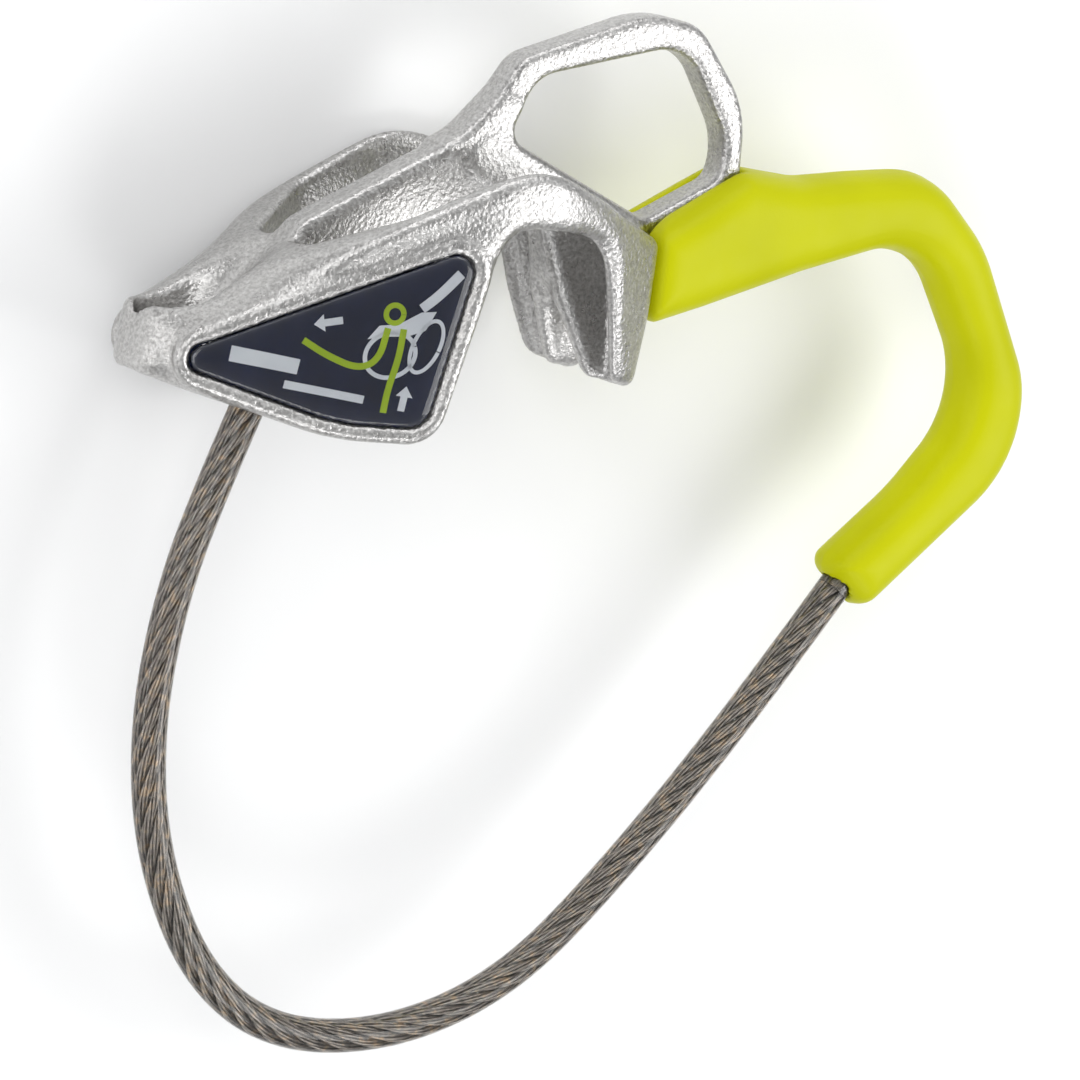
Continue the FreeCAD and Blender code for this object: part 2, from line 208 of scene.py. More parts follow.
def surface_nets(field, axes):
    """Quads over the zero level of a field on a grid, with one vertex in each cell it crosses."""
    shape = np.array(field.shape)
    inside = field < 0
    filled = np.zeros(shape - 1, np.int8)
    offsets = [(i, j, k) for i in (0, 1) for j in (0, 1) for k in (0, 1)]
    for i, j, k in offsets:
        filled += inside[i:shape[0] - 1 + i, j:shape[1] - 1 + j, k:shape[2] - 1 + k]
    active = (filled > 0) & (filled < 8)
    cells = np.argwhere(active)
    number = np.full(active.shape, -1, np.int64)
    number[active] = np.arange(len(cells))
    total = np.zeros((len(cells), 3))
    crossings = np.zeros(len(cells))
    for first in offsets:
        for axis in range(3):
            if first[axis]:
                continue
            second = list(first)
            second[axis] = 1
            low = field[tuple((cells + first).T)]
            high = field[tuple((cells + second).T)]
            hit = (low < 0) != (high < 0)
            share = np.where(hit, low / np.where(hit, low - high, 1), 0)
            spot = np.tile(np.array(first, float), (len(cells), 1))
            spot[:, axis] = share
            total[hit] += spot[hit]
            crossings[hit] += 1
    places = cells + total / crossings[:, None]
    vertices = np.stack([np.interp(places[:, a], np.arange(shape[a]), axes[a]) for a in range(3)], 1)
    quads = []
    for axis in range(3):
        second, third = (axis + 1) % 3, (axis + 2) % 3
        ahead = np.diff(inside.astype(np.int8), axis=axis)
        spots = np.argwhere(ahead != 0)
        spots = spots[(spots[:, second] > 0) & (spots[:, third] > 0)]
        spots = spots[(spots[:, second] < shape[second] - 1) & (spots[:, third] < shape[third] - 1)]
        leaving = ahead[tuple(spots.T)] < 0
        ring = []
        for back_second, back_third in ((1, 1), (0, 1), (0, 0), (1, 0)):
            cell = spots.copy()
            cell[:, second] -= back_second
            cell[:, third] -= back_third
            ring.append(number[tuple(cell.T)])
        ring = np.stack(ring, 1)
        ring[~leaving] = ring[~leaving][:, ::-1]
        quads.append(ring)
    return vertices, np.concatenate(quads)


def sampled(field, axes, points):
    """The field at points, between grid values."""
    spots = [np.interp(points[:, a], axes[a], np.arange(len(axes[a]))) for a in range(3)]
    base = [np.minimum(s.astype(int), len(axes[a]) - 2) for a, s in enumerate(spots)]
    part = [s - b for s, b in zip(spots, base)]
    value = 0
    for i in (0, 1):
        for j in (0, 1):
            for k in (0, 1):
                weight = 1
                for share, side in zip(part, (i, j, k)):
                    weight = weight * (share if side else 1 - share)
                value = value + weight * field[base[0] + i, base[1] + j, base[2] + k]
    return value


def settled(vertices, field, axes, rounds=3):
    """The vertices moved on to the zero level, and the outward directions there."""
    reach = (axes[0][1] - axes[0][0]) * 0.6
    for _ in range(rounds):
        slope = np.stack([
            sampled(field, axes, vertices + reach * np.eye(3)[a])
            - sampled(field, axes, vertices - reach * np.eye(3)[a]) for a in range(3)], 1) / (2 * reach)
        size = np.maximum((slope ** 2).sum(1), 0.05)
        value = sampled(field, axes, vertices)
        step = np.clip(value / size, -0.2, 0.2)
        vertices = vertices - slope * step[:, None]
    return vertices, slope / np.sqrt(size)[:, None]


def grid(low, high, step):
    return [np.arange(a, b + step, step) for a, b in zip(low, high)]


# ---- mesh helpers --------------------------------------------------------------------------------
def make_object(name, vertices, faces, material, smooth=True):
    """A mesh object from vertices whose third number is the height over the middle plane."""
    mesh = bpy.data.meshes.new(name)
    placed = (np.asarray(vertices, float) + (0, 0, MID_Z)) * MM
    mesh.from_pydata(placed.tolist(), [], [list(map(int, face)) for face in faces])
    mesh.validate()
    if smooth:
        mesh.shade_smooth()
    obj = bpy.data.objects.new(name, mesh)
    bpy.context.scene.collection.objects.link(obj)
    mesh.materials.append(material)
    return obj


def join_parts(parts):
    """Several (vertices, faces) as one."""
    vertices, faces, start = [], [], 0
    for some_vertices, some_faces in parts:
        vertices.append(np.asarray(some_vertices, float))
        faces.extend([[index + start for index in face] for face in some_faces])
        start += len(some_vertices)
    return np.concatenate(vertices), faces


# ---- materials -----------------------------------------------------------------------------------
class Nodes:
    """A material's node tree, with short calls for the few node types that the looks need."""

    def __init__(self, name):
        self.material = bpy.data.materials.new(name)
        self.material.use_nodes = True
        self.tree = self.material.node_tree
        self.shader = self.tree.nodes["Principled BSDF"]
        self.place = self.tree.nodes.new("ShaderNodeTexCoord").outputs["Object"]

    def set(self, **values):
        for key, value in values.items():
            self.shader.inputs[key.replace("_", " ")].default_value = value

    def link(self, source, target):
        self.tree.links.new(source, target)

    def noise(self, size_mm, detail=2.0, roughness=0.5):
        node = self.tree.nodes.new("ShaderNodeTexNoise")
        node.inputs["Scale"].default_value = 1 / (size_mm * MM)
        node.inputs["Detail"].default_value = detail
        node.inputs["Roughness"].default_value = roughness
        self.link(self.place, node.inputs["Vector"])
        return node.outputs["Fac"]

    def cells(self, size_mm, smoothness=0.6):
        node = self.tree.nodes.new("ShaderNodeTexVoronoi")
        node.feature = "SMOOTH_F1"
        node.inputs["Scale"].default_value = 1 / (size_mm * MM)
        node.inputs["Smoothness"].default_value = smoothness
        self.link(self.place, node.inputs["Vector"])
        return node.outputs["Distance"]

    def ramp(self, source, stops):
        node = self.tree.nodes.new("ShaderNodeValToRGB")
        elements = node.color_ramp.elements
        while len(elements) < len(stops):
            elements.new(0.5)
        for element, (position, colour) in zip(elements, stops):
            element.position = position
            element.color = colour if len(colour) == 4 else (*colour, 1)
        self.link(source, node.inputs["Fac"])
        return node.outputs["Color"]

    def scaled(self, source, low, high):
        node = self.tree.nodes.new("ShaderNodeMapRange")
        node.inputs["From Min"].default_value = 0.25
        node.inputs["From Max"].default_value = 0.75
        node.inputs["To Min"].default_value = low
        node.inputs["To Max"].default_value = high
        self.link(source, node.inputs["Value"])
        return node.outputs["Result"]

    def math(self, operation, first, second):
        node = self.tree.nodes.new("ShaderNodeMath")
        node.operation = operation
        for socket, value in zip(node.inputs, (first, second)):
            if isinstance(value, (int, float)):
                socket.default_value = value
            else:
                self.link(value, socket)
        return node.outputs[0]

    def bump(self, height, depth_mm, strength=1.0):
        node = self.tree.nodes.new("ShaderNodeBump")
        node.inputs["Strength"].default_value = strength
        node.inputs["Distance"].default_value = depth_mm * MM
        self.link(height, node.inputs["Height"])
        self.link(node.outputs["Normal"], self.shader.inputs["Normal"])


def cast_steel():
    """Investment-cast stainless: bright, pebbled at about half a millimetre, worn a little smoother."""
    m = Nodes("cast_steel")
    m.set(Metallic=1.0)
    grain = m.noise(0.42, 2.5, 0.65)
    tone = m.ramp(grain, [
        (0.32, (0.37, 0.362, 0.355)), (0.50, (0.50, 0.492, 0.482)), (0.68, (0.62, 0.612, 0.602))])
    m.link(tone, m.shader.inputs["Base Color"])
    m.link(m.scaled(m.noise(1.6, 4.0, 0.7), 0.24, 0.38), m.shader.inputs["Roughness"])
    height = m.math("ADD", grain, m.math("MULTIPLY", m.cells(0.55), 0.6))
    m.bump(height, 0.10)
    return m.material


def lime_plastic():
    """Satin moulded plastic with a very fine leathery skin."""
    m = Nodes("lime_plastic")
    m.set(IOR=1.47, Specular_IOR_Level=0.15)
    tone = m.ramp(m.noise(14.0, 2.0), [(0.3, (0.50, 0.515, 0.0)), (0.7, (0.55, 0.565, 0.0))])
    m.link(tone, m.shader.inputs["Base Color"])
    m.link(m.scaled(m.noise(3.0, 3.0), 0.36, 0.46), m.shader.inputs["Roughness"])
    m.bump(m.noise(0.35, 3.0, 0.6), 0.02)
    return m.material


def rope_steel():
    """Drawn steel wires, greyed and slightly warm, with bright orange patches in the colour that are painted
    glints.
    """
    m = Nodes("rope_steel")
    m.set(Metallic=1.0)
    # the lower stops are the wires' grey tone at random; the top stop, bright and orange, is painted warm
    # glints scattered by the noise
    tone = m.ramp(m.noise(1.1, 3.0, 0.6),
                  [(0.3, (0.20, 0.18, 0.165)), (0.52, (0.36, 0.33, 0.30)), (0.7, (0.62, 0.48, 0.34))])
    m.link(tone, m.shader.inputs["Base Color"])
    m.link(m.scaled(m.noise(0.8, 2.0), 0.28, 0.45), m.shader.inputs["Roughness"])
    m.bump(m.noise(0.12, 2.0), 0.006)
    return m.material


def clear_jacket():
    """Clear extruded jacket, filled between the wires."""
    m = Nodes("clear_jacket")
    m.set(Transmission_Weight=1.0, IOR=1.42)
    tone = m.ramp(m.noise(9.0, 2.0), [(0.3, (0.86, 0.85, 0.83)), (0.7, (0.93, 0.925, 0.91))])
    m.link(tone, m.shader.inputs["Base Color"])
    m.link(m.scaled(m.noise(2.0, 3.0), 0.04, 0.12), m.shader.inputs["Roughness"])
    m.bump(m.noise(1.6, 2.0), 0.03)
    return m.material


def ferrule_steel():
    m = Nodes("ferrule_steel")
    m.set(Metallic=1.0)
    m.link(m.ramp(m.noise(0.9), [(0.3, (0.5, 0.49, 0.47)), (0.7, (0.66, 0.65, 0.63))]),
           m.shader.inputs["Base Color"])
    m.link(m.scaled(m.noise(0.6, 3.0), 0.25, 0.5), m.shader.inputs["Roughness"])
    m.bump(m.noise(0.3), 0.01)
    return m.material


def printed(name, dark, light, roughness):
    """Ink or foil of one colour with a slight cloud in it."""
    m = Nodes(name)
    m.link(m.ramp(m.noise(5.0, 3.0), [(0.3, dark), (0.7, light)]), m.shader.inputs["Base Color"])
    m.set(Specular_IOR_Level=0.1)
    m.link(m.scaled(m.noise(1.5, 3.0), roughness - 0.06, roughness + 0.06), m.shader.inputs["Roughness"])
    m.bump(m.noise(0.4), 0.004)
    return m.material


def clear_resin():
    m = Nodes("clear_resin")
    m.set(Transmission_Weight=1.0, IOR=1.5)
    m.link(m.ramp(m.noise(12.0), [(0.3, (0.94, 0.95, 0.96)), (0.7, (0.98, 0.985, 0.99))]),
           m.shader.inputs["Base Color"])
    m.link(m.scaled(m.noise(4.0, 2.0), 0.015, 0.05), m.shader.inputs["Roughness"])
    m.bump(m.noise(5.0), 0.02)
    return m.material


STEEL = cast_steel()
LIME = lime_plastic()
ROPE = rope_steel()
JACKET = clear_jacket()
SLEEVE = ferrule_steel()
NAVY = printed("label_navy", (0.003, 0.006, 0.026), (0.007, 0.012, 0.045), 0.35)
WHITE_INK = printed("label_white", (0.72, 0.75, 0.80), (0.82, 0.85, 0.88), 0.45)
LIME_INK = printed("label_lime", (0.36, 0.52, 0.01), (0.44, 0.60, 0.02), 0.45)
RESIN = clear_resin()


# ---- cast body -----------------------------------------------------------------------------------
CAST_STEP = 0.4
SHEATH_STEP = 0.42
SHEATH_ROUND = 4.6
SEAM_HALF_WIDTH = 0.28
SEAM_HEIGHT = 0.07
FIT = 0.15
BORE_FIT = 0.03
RIM_ROUND = 2.2
ARCH_ROUND = 2.4
BEAD_OFFSET = 0.95
BEAD_RADIUS = 0.68
PLATE_SINK = 0.45
# one tongue seen along X, as (depth, y)
TONGUE_FACE = [(1.2, 33.0, 0.5), (1.6, 26.4, 6), (3.2, 18.4, 3.2), (9.6, 18.4, 4.3), (14.4, 33.0, 0.5)]
TONGUE_WALL_OUT = [(18.0, 5.0), (24.0, 4.4), (31.0, 3.3), (38.0, 1.8)]
TONGUE_LEAN = 0.04


def plate_height(x, z):
    """Height over the sloping face of a side plate."""
    slope = np.minimum(x - FULL_WIDTH_X, 0) * TAPER
    return (z - PLATE_OUT - slope) * math.cos(math.atan(TAPER))


def along(table, places, soften=0.0):
    """A value read from a table of (place, value), with its corners softened over a length."""
    keys, values = zip(*table)
    shifts = np.linspace(-soften, soften, 9) if soften else [0.0]
    return sum(np.interp(places + shift, keys, values) for shift in shifts) / len(shifts)


def half_width(x, y):
    """Half width of the body: the side plate's, easing into the top edge's above the label."""
    plate = along(PLATE_HALF, x, 2.5) - PLATE_SINK
    top = along(TOP_HALF, x, 2.5)
    (edge_x, edge_y), (top_x, top_y) = LABEL[0][:2], LABEL[1][:2]
    label_edge = edge_y + (top_y - edge_y) / (top_x - edge_x) * (x - edge_x)
    rise = np.clip((y - label_edge - 1.5) / along(TOP_GAP, x, 2.0), 0, 1)
    lean = TONGUE_LEAN * np.clip(33.0 - y, 0, 15) * np.clip((x + 14.0) / 5.0, 0, 1)
    return plate + (top - plate) * rise * rise * (3 - 2 * rise) - lean


def cast_field(axes):
    x, y, z = (axis.reshape([-1 if a == b else 1 for b in range(3)]) for a, axis in enumerate(axes))
    z = np.abs(z)
    depth = np.abs(axes[2])

    def side(corners):
        return outline_field(rounded(corners), axes[0], axes[1])[:, :, None]

    def plan(corners):
        return outline_field(rounded(corners), axes[0], depth)[:, None, :]

    width = half_width(axes[0][:, None], axes[1][None, :])
    lean_x, lean_y = np.gradient(width, axes[0], axes[1])
    flank = (z - width[:, :, None]) / np.sqrt(1 + lean_x ** 2 + lean_y ** 2)[:, :, None]
    under_arch = np.clip((41.0 - y) / 4.0, 0, 1) * np.clip((y - 27.0) / 7.0, 0, 1)
    under_arch = under_arch * np.clip((x + 27.0) / 4.0, 0, 1) * np.clip((-3.0 - x) / 7.0, 0, 1)
    hull = overlap(side(BODY_SIDE), flank, RIM_ROUND + ARCH_ROUND * under_arch)
    front = side(FRONT_BLOCK)
    slot = minus(plan(SLOT_PLAN), front, 2.5)
    by_tongues = np.clip((31.0 - y) / 4.0, 0, 1) * np.clip((x + 9.0) / 3.0, 0, 1)
    hull = minus(hull, slot, 1.5 + 0.5 * by_tongues)
    between = np.maximum(np.maximum(z - WEB / 2 - 0.2, -44.0 - x), x + 1.2)
    hull = minus(hull, minus(between + 0 * y, front, 1.0), 0.4)
    wall = overlap(side(TONGUE_WALL_SIDE), z - along(TONGUE_WALL_OUT, y), 1.8)
    hull = union(hull, wall, 1.6)
    blade = outline_field(rounded(TONGUE_FACE), depth, axes[1]).T[None, :, :]
    hull = minus(hull, np.maximum(-blade, np.maximum(y - 30.0, -12.0 - x)), 2.0)
    web = overlap(side(WEB_SIDE), z - WEB / 2, 1.0)
    hull = union(hull, web, 2.0)
    eye = overlap(side(EYE_OUTER), z - EYE_THICKNESS / 2, 1.1)
    hull = union(hull, eye, 2.4)
    hull = minus(hull, np.maximum(side(EYE_INNER) + 0.25, z - 5.0), 1.0)
    middle = (EYELET_ENDS[0] + EYELET_ENDS[1]) / 2
    half = (EYELET_ENDS[1] - EYELET_ENDS[0]) / 2
    rounding = EYELET_WIDTH / 2
    eyelet = np.hypot(np.maximum(np.abs(x - middle) - half + rounding, 0), z) - rounding + 0 * y
    hull = minus(hull, eyelet, 0.9)
    hull = minus(hull, scoop(x, y, z), 2.4)
    boss = rod_field(x, y, z, *FRONT_BOSS, SOCKET_BOSS_D / 2)
    hull = union(hull, boss, 1.5)
    rear_boss = rod_field(x, y, z, *REAR_BOSS, REAR_BOSS_D / 2)
    hull = union(hull, rear_boss, 1.0)
    hull = minus(hull, rod_field(x, y, z, *FRONT_BORE, FERRULE_D / 2), 0.5)
    hull = minus(hull, rod_field(x, y, z, *REAR_BORE, FERRULE_D / 2), 0.3)
    lift = plate_height(x, z) + PLATE_SINK + 0 * y
    rim = side(LABEL)
    bead = np.hypot(rim - BEAD_OFFSET, lift + 0.35) - BEAD_RADIUS
    hull = union(hull, bead, 1.2)
    pocket = np.maximum(rim, -lift - POCKET_DEPTH)
    return minus(hull, pocket, 0.3)


def scoop(x, y, z):
    """Ramp that leads from the nose eyelet up to the web between the slots."""
    (ax, ay), (bx, by) = RAMP
    dx, dy = bx - ax, by - ay
    t = np.clip(((x - ax) * dx + (y - ay) * dy) / (dx * dx + dy * dy), 0, 1)
    off = np.sqrt((x - ax - t * dx) ** 2 + (y - ay - t * dy) ** 2 + z ** 2)
    return off - (RAMP_RADIUS[0] + (RAMP_RADIUS[1] - RAMP_RADIUS[0]) * t)


def make_cast_body():
    axes = grid((-65.0, 11.5, -17.0), (18.5, 63.5, 17.0), CAST_STEP)
    field = cast_field(axes)
    vertices, quads = surface_nets(field, axes)
    vertices, _ = settled(vertices, field, axes)
    obj = make_object("cast_body_skin", vertices, quads, STEEL)
    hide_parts("cast_body")
    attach(obj, "device")
    return obj


# ---- sheath --------------------------------------------------------------------------------------
def make_sheath():
    axes = grid((0.5, -9.0, -8.5), (65.5, 47.0, 8.5), SHEATH_STEP)
    x, y, z = (axis.reshape([-1 if a == b else 1 for b in range(3)]) for a, axis in enumerate(axes))
    z = np.abs(z)
    outer = outline_field(rounded(SHEATH_SIDE), axes[0], axes[1])[:, :, None]
    plan = outline_field(rounded(both_sides(SHEATH_PLAN, 72.0)), axes[0], np.abs(axes[2]))[:, None, :]
    field = overlap(outer, plan, SHEATH_ROUND)
    eye = outline_field(rounded(EYE_OUTER), axes[0], axes[1])[:, :, None]
    field = minus(field, np.maximum(eye, z - EYE_THICKNESS / 2) - FIT, 0.7)
    field = minus(field, rod_field(x, y, z, *CABLE_BORE, JACKET_D / 2 + BORE_FIT), 0.15)
    field = minus(field, rod_field(x, y, z, *REAR_BOSS_POCKET, REAR_BOSS_D / 2 + FIT), 0.3)
    vertices, quads = surface_nets(field, axes)
    vertices, outward = settled(vertices, field, axes)
    seam = np.exp(-(vertices[:, 2] / SEAM_HALF_WIDTH) ** 2) * SEAM_HEIGHT
    vertices = vertices + outward * seam[:, None]
    obj = make_object("sheath_skin", vertices, quads, LIME)
    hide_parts("sheath")
    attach(obj, "device")
    return obj


# ---- wire rope -----------------------------------------------------------------------------------
def spline_points(route):
    """Points along the NURBS spline whose control points are the route's."""
    curve = bpy.data.curves.new("route", "CURVE")
    curve.dimensions = "3D"
    spline = curve.splines.new("NURBS")
    spline.points.add(len(route) - 1)
    for control, (x, y) in zip(spline.points, route):
        control.co = (x * MM, y * MM, MID_Z * MM, 1)
    spline.order_u = 3
    spline.use_endpoint_u = True
    spline.resolution_u = 16
    obj = bpy.data.objects.new("route", curve)
    bpy.context.scene.collection.objects.link(obj)
    graph = bpy.context.evaluated_depsgraph_get()
    mesh = bpy.data.meshes.new_from_object(obj.evaluated_get(graph))
    points = np.array([vertex.co[:] for vertex in mesh.vertices]) / MM - (0, 0, MID_Z)
    bpy.data.objects.remove(obj)
    bpy.data.meshes.remove(mesh)
    bpy.data.curves.remove(curve)
    return points


def evenly(points, spacing):
    """The polyline's points spread evenly."""
    steps = np.linalg.norm(np.diff(points, axis=0), axis=1)
    travelled = np.concatenate([[0], np.cumsum(steps)])
    wanted = np.linspace(0, travelled[-1], int(travelled[-1] / spacing) + 1)
    return np.stack([np.interp(wanted, travelled, points[:, a]) for a in range(3)], 1), wanted


def tube_mesh(centres, radius, sides):
    """A capped round tube round a line of points."""
    tangent = np.gradient(centres, axis=0)
    tangent /= np.linalg.norm(tangent, axis=1)[:, None]
    across = np.cross(tangent, (0, 0, 1.0))
    across /= np.linalg.norm(across, axis=1)[:, None]
    up = np.cross(across, tangent)
    angles = np.arange(sides) * 2 * math.pi / sides
    ring = across[:, None, :] * np.cos(angles)[None, :, None] + up[:, None, :] * np.sin(angles)[None, :, None]
    vertices = (centres[:, None, :] + ring * radius).reshape(-1, 3)
    faces = []
    for row in range(len(centres) - 1):
        start = row * sides
        for side in range(sides):
            following = (side + 1) % sides
            faces.append((start + side, start + sides + side, start + sides + following, start + following))
    faces.append(tuple(range(sides)))
    faces.append(tuple(range((len(centres) - 1) * sides, len(centres) * sides))[::-1])
    return vertices, faces


ROPE_LAY = 21.6
STRAND_LAY = 9.0
STRAND_RADIUS = WIRE_D / 3
WIRE_SPACING = 0.355
WIRE_RADIUS = 0.185
STRANDS = 6
WIRES_PER_STRAND = 6
CORD_STEP = 0.6
STEPS_INTO_SHEATH = 2.5
JACKET_SIDES = 28
WIRE_SIDES = 6


def make_bail():
    path, travelled = evenly(spline_points(BAIL), CORD_STEP)
    inside = path[-1] + (path[-1] - path[-2]) * STEPS_INTO_SHEATH
    centres, travelled = evenly(np.concatenate([path, [inside]]), CORD_STEP)
    jacket = make_object("bail_jacket_skin", *tube_mesh(centres, JACKET_D / 2, JACKET_SIDES), JACKET)
    tangent = np.gradient(centres, axis=0)
    tangent /= np.linalg.norm(tangent, axis=1)[:, None]
    across = np.cross(tangent, (0, 0, 1.0))
    up = np.cross(across, tangent)
    parts = []
    for strand in range(STRANDS):
        turn = -2 * math.pi * travelled / ROPE_LAY + strand * 2 * math.pi / STRANDS
        outward = across * np.cos(turn)[:, None] + up * np.sin(turn)[:, None]
        sideways = up * np.cos(turn)[:, None] - across * np.sin(turn)[:, None]
        for wire in range(WIRES_PER_STRAND):
            spin = 2 * math.pi * travelled / STRAND_LAY + wire * 2 * math.pi / WIRES_PER_STRAND
            offset = outward * (STRAND_RADIUS + WIRE_SPACING * np.cos(spin))[:, None]
            offset = offset + sideways * (WIRE_SPACING * np.sin(spin))[:, None]
            parts.append(tube_mesh(centres + offset, WIRE_RADIUS, WIRE_SIDES))
    wires = make_object("bail_wires", *join_parts(parts), ROPE)
    for piece, node, finish in ((jacket, "bail_jacket", "clear_jacket"), (wires, "bail_wire", "wire_rope")):
        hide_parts(node)
        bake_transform(piece)
    path = ((path + (0, 0, MID_Z)) * MM).tolist()
    return jacket, wires


# ---- labels --------------------------------------------------------------------------------------
def on_plate(x, y, lift, side):
    """A point of the label, given its place in X and Y and its height over the plate's face."""
    angle = math.atan(TAPER)
    z = PLATE_OUT - PLATE_SINK + TAPER * (x - FULL_WIDTH_X)
    return (x - lift * math.sin(angle), y, side * (z + lift * math.cos(angle)))


def prism(outline, bottom, top, side):
    """An outline on the plate as a thin plate of its own."""
    count = len(outline)
    vertices = [on_plate(x, y, bottom, side) for x, y in outline]
    vertices += [on_plate(x, y, top, side) for x, y in outline]
    area = sum(a[0] * b[1] - a[1] * b[0] for a, b in zip(outline, np.roll(outline, -1, axis=0)))
    rows = list(range(count)) if area * side > 0 else list(range(count))[::-1]
    faces = [tuple(rows[::-1]), tuple(count + row for row in rows)]
    for index, row in enumerate(rows):
        following = rows[(index + 1) % count]
        faces.append((row, following, count + following, count + row))
    return vertices, faces


def shrunk(outline, amount):
    """A closed outline moved inwards."""
    ahead = np.roll(outline, -1, axis=0) - np.roll(outline, 1, axis=0)
    ahead /= np.linalg.norm(ahead, axis=1)[:, None]
    inward = np.stack([-ahead[:, 1], ahead[:, 0]], 1)
    area = np.sum(outline[:, 0] * np.roll(outline[:, 1], -1) - outline[:, 1] * np.roll(outline[:, 0], -1))
    return outline + inward * amount * (1 if area > 0 else -1)


def stroke(points, width):
    """Outline of a line of the given width through points, smoothed."""
    points = np.array(points, float)
    for _ in range(3):
        quarter = points[:-1] * 0.75 + points[1:] * 0.25
        three = points[:-1] * 0.25 + points[1:] * 0.75
        points = np.concatenate([points[:1], np.stack([quarter, three], 1).reshape(-1, 2), points[-1:]])
    ahead = np.gradient(points, axis=0)
    ahead /= np.linalg.norm(ahead, axis=1)[:, None]
    normal = np.stack([-ahead[:, 1], ahead[:, 0]], 1) * width / 2
    return np.concatenate([points + normal, (points - normal)[::-1]])


def arrow(tail, tip, width):
    """Outline of a plain arrow."""
    tail, tip = np.array(tail, float), np.array(tip, float)
    along = (tip - tail) / np.linalg.norm(tip - tail)
    side = np.array((-along[1], along[0]))
    neck = tip - along * width * 1.5
    return np.array([
        tail + side * width / 2, neck + side * width / 2, neck + side * width * 1.2, tip,
        neck - side * width * 1.2, neck - side * width / 2, tail - side * width / 2])


def ring_strokes(centre, radius_x, radius_y, width, turn=0.0):
    """Outline of an oval ring, cut once so that it stays one outline."""
    angles = np.linspace(0.02, 2 * math.pi - 0.02, 48)
    outer = np.stack([(radius_x + width / 2) * np.cos(angles), (radius_y + width / 2) * np.sin(angles)], 1)
    inner = np.stack([(radius_x - width / 2) * np.cos(angles), (radius_y - width / 2) * np.sin(angles)], 1)
    both = np.concatenate([outer, inner[::-1]])
    cosine, sine = math.cos(turn), math.sin(turn)
    return both @ np.array([[cosine, sine], [-sine, cosine]]) + centre


def label_artwork():
    """Plain pictogram: a rope led through a device, with an arrow beside each strand, and two bars."""
    rope = [stroke([(-46.6, 24.4), (-43.6, 22.8), (-40.0, 21.6), (-37.8, 22.8), (-37.2, 26.4)], 0.75),
            stroke([(-35.4, 26.4), (-35.6, 23.0), (-36.4, 19.6), (-36.6, 16.9)], 0.75),
            ring_strokes((-36.6, 28.0), 1.0, 1.0, 0.6)]
    white = [arrow((-42.4, 26.9), (-45.6, 26.2), 0.8), arrow((-34.6, 17.2), (-34.3, 20.0), 0.8),
             ring_strokes((-36.6, 23.4), 2.9, 2.5, 0.5, 0.4),
             ring_strokes((-32.6, 24.6), 1.5, 3.1, 0.45, -0.35),
             np.array([(-39.4, 25.0), (-38.2, 26.6), (-36.0, 26.9), (-33.6, 28.4), (-31.9, 28.6),
                       (-32.9, 26.4), (-34.9, 25.6), (-37.6, 25.4)]),
             stroke([(-33.6, 28.8), (-31.8, 30.4), (-29.6, 33.0)], 1.1),
             stroke([(-54.6, 22.4), (-50.5, 21.9), (-46.8, 21.4)], 1.7),
             stroke([(-48.2, 19.4), (-43.5, 18.8), (-39.0, 18.2)], 0.9)]
    return rope, white


def make_label(name, side):
    outline = shrunk(rounded(LABEL, 0.25), LABEL_GAP)
    plate = prism(outline, FOIL_TOP - FOIL, FOIL_TOP, side)
    foil = make_object("label_foil_skin_" + name, *plate, NAVY, False)
    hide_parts("label_foil_" + name)
    rope, white = label_artwork()
    pieces = [foil]
    for title, shapes, ink, raised in (("rope", rope, LIME_INK, 0.045), ("marks", white, WHITE_INK, 0.03)):
        parts = [prism(shape, FOIL_TOP, FOIL_TOP + raised, side) for shape in shapes]
        art = make_object("label_%s_%s" % (title, name), *join_parts(parts), ink, False)
        pieces.append(art)
    pieces.append(make_dome(name, side, outline))
    for piece in pieces:
        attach(piece, "device")
    return pieces


def make_dome(name, side, outline):
    """Clear resin over the foil, crowned by its surface tension."""
    axes = grid((-63.5, 13.5, FOIL_TOP - 0.4), (-26.0, 38.5, 1.2), 0.3)
    lift = axes[2].reshape(1, 1, -1)
    edge = outline_field(outline, axes[0], axes[1])[:, :, None]
    crown = 0.05 + 0.5 * (1 - np.exp(np.minimum(edge, 0) / 1.8))
    field = overlap(np.maximum(edge, FOIL_TOP + 0.10 - lift), lift - crown, 0.35)
    vertices, quads = surface_nets(field, axes)
    vertices, _ = settled(vertices, field, axes)
    placed = [on_plate(x, y, height, side) for x, y, height in vertices]
    if side < 0:
        quads = quads[:, ::-1]
    dome = make_object("label_dome_skin_" + name, placed, quads, RESIN)
    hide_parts("label_dome_" + name)
    return dome


# ---- floor, light, camera ------------------------------------------------------------------------
def make_stage():
    mesh = bpy.data.meshes.new("floor")
    mesh.from_pydata([(-3, -3, 0), (3, -3, 0), (3, 3, 0), (-3, 3, 0)], [], [(0, 1, 2, 3)])
    floor = bpy.data.objects.new("floor", mesh)
    bpy.context.scene.collection.objects.link(floor)
    paper = Nodes("paper")
    paper.link(paper.ramp(paper.noise(40.0), [(0.3, (0.90, 0.90, 0.90)), (0.7, (0.93, 0.93, 0.93))]),
               paper.shader.inputs["Base Color"])
    paper.set(Roughness=0.9)
    mesh.materials.append(paper.material)


def area_light(name, place, target, size, power, colour=(1, 1, 1)):
    data = bpy.data.lights.new(name, "AREA")
    data.shape = "RECTANGLE"
    data.size, data.size_y = size
    data.energy = power
    data.color = colour
    light = bpy.data.objects.new(name, data)
    light.location = place
    light.rotation_euler = (Vector(target) - Vector(place)).to_track_quat("-Z", "Y").to_euler()
    bpy.context.scene.collection.objects.link(light)


# brightness of the surroundings against the direction's height, from level to straight up
SKY = [(0.0, 0.16), (0.3, 0.46), (0.65, 0.95), (0.88, 0.55), (1.0, 0.26)]


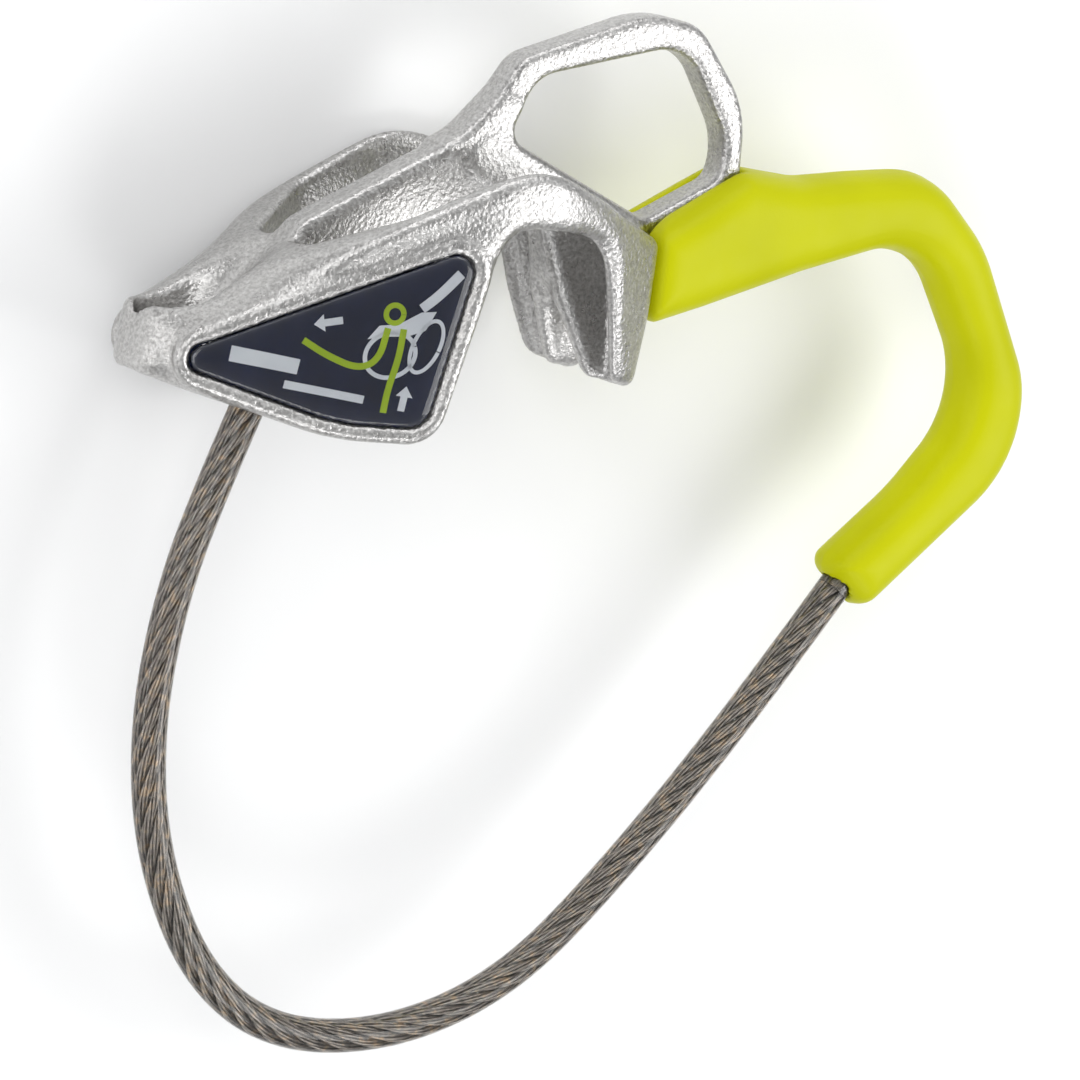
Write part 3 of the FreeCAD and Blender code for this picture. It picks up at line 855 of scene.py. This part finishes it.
def make_lights():
    world = bpy.data.worlds.new("studio")
    world.use_nodes = True
    tree = world.node_tree
    split = tree.nodes.new("ShaderNodeSeparateXYZ")
    tree.links.new(tree.nodes.new("ShaderNodeTexCoord").outputs["Generated"], split.inputs["Vector"])
    sky = tree.nodes.new("ShaderNodeValToRGB")
    while len(sky.color_ramp.elements) < len(SKY):
        sky.color_ramp.elements.new(0.5)
    for element, (height, level) in zip(sky.color_ramp.elements, SKY):
        element.position = height
        element.color = (level * 0.98, level * 0.99, level, 1)
    tree.links.new(split.outputs["Z"], sky.inputs["Fac"])
    tree.links.new(sky.outputs["Color"], tree.nodes["Background"].inputs["Color"])
    bpy.context.scene.world = world
    area_light("key", (0.66, -0.10, 0.78), (0, 0.01, 0.016), (0.6, 0.6), 3.7)
    area_light("front", (-0.05, -0.95, 0.80), (0, 0.0, 0.016), (0.6, 0.35), 2.6)
    area_light("fill", (-0.62, 0.30, 0.85), (0, 0, 0.016), (0.6, 0.5), 2.0)
    area_light("side", (-1.0, 0.02, 0.24), (0, 0, 0.016), (0.8, 0.10), 1.5)
    area_light("back", (0.0, 0.85, 0.45), (0, 0.02, 0.016), (0.9, 0.3), 2.2)


def make_camera():
    """Looks down on the near side plate from beyond the nose, with +Y up in the picture."""
    right = Vector((0.82446, 0.12563, 0.5518))
    up = Vector((0.0, 0.97505, -0.222))
    back = right.cross(up)
    data = bpy.data.cameras.new("camera")
    data.sensor_width = 36.0
    data.lens = 200.67
    data.clip_start = 0.01
    camera = bpy.data.objects.new("camera", data)
    turn = Matrix((right, up, back)).transposed().to_4x4()
    centre = Vector((-4.25, -0.5, MID_Z)) * MM
    camera.matrix_world = Matrix.Translation(centre + back * 0.7) @ turn
    bpy.context.scene.collection.objects.link(camera)
    bpy.context.scene.camera = camera


def dress_cad_nodes():
    """The wire rope's ends and ferrules keep their CAD shape and get their finish."""
    finishes = {"front_wire_end": ROPE, "rear_wire_end": ROPE, "front_jacket_end": JACKET,
                "rear_jacket_end": JACKET, "front_ferrule": SLEEVE, "rear_ferrule": SLEEVE}
    for node, material in finishes.items():
        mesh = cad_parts[node].data
        mesh.materials.clear()
        mesh.materials.append(material)


make_stage()
make_lights()
make_camera()
dress_cad_nodes()
make_cast_body()
make_sheath()
make_bail()
for label_name, label_side in (("near", 1), ("far", -1)):
    make_label(label_name, label_side)

bpy.context.scene.view_settings.view_transform = "Standard"
